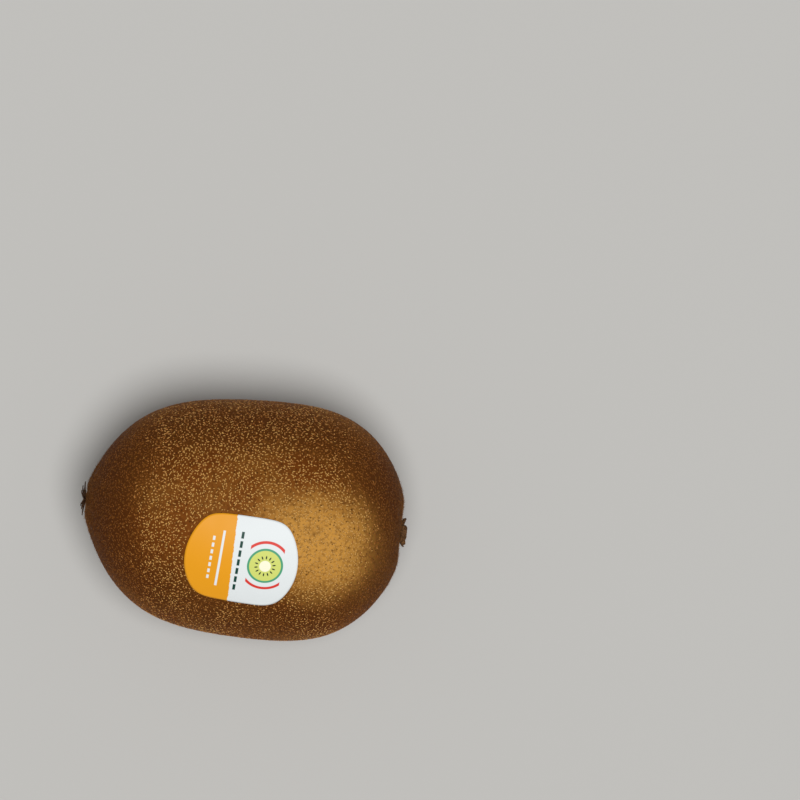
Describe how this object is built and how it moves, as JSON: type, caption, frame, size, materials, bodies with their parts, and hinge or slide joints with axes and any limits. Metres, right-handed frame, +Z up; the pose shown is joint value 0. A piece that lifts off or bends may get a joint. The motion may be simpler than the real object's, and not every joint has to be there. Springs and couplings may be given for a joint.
{
  "type": "golden kiwi fruit",
  "caption": "Whole golden kiwi fruit lying on its side: blunt barrel body, dried calyx in the stem basin, tuft of dried styles on the blossom nose, and a thin oval paper label.",
  "frame": {"origin": "on the flat spot that the fruit rests on, under the middle of its length", "axes": "+X along the fruit's long axis towards the stem end, +Z up, square to the resting surface"},
  "size_m": [0.0723, 0.0524, 0.0501],
  "materials": {
    "kiwi_skin": "dry golden-brown rind, close set with pale raised specks, soft satin sheen",
    "dried_calyx": "dry fibrous brown",
    "dried_styles": "dry, nearly black brown",
    "label_paper": "thin coated paper, printed, slight gloss"
  },
  "bodies": {
    "root": {"fruit_body": "kiwi_skin", "stem_calyx": "dried_calyx", "style_tuft": "dried_styles", "label": "label_paper"}
  },
  "joints": []
}
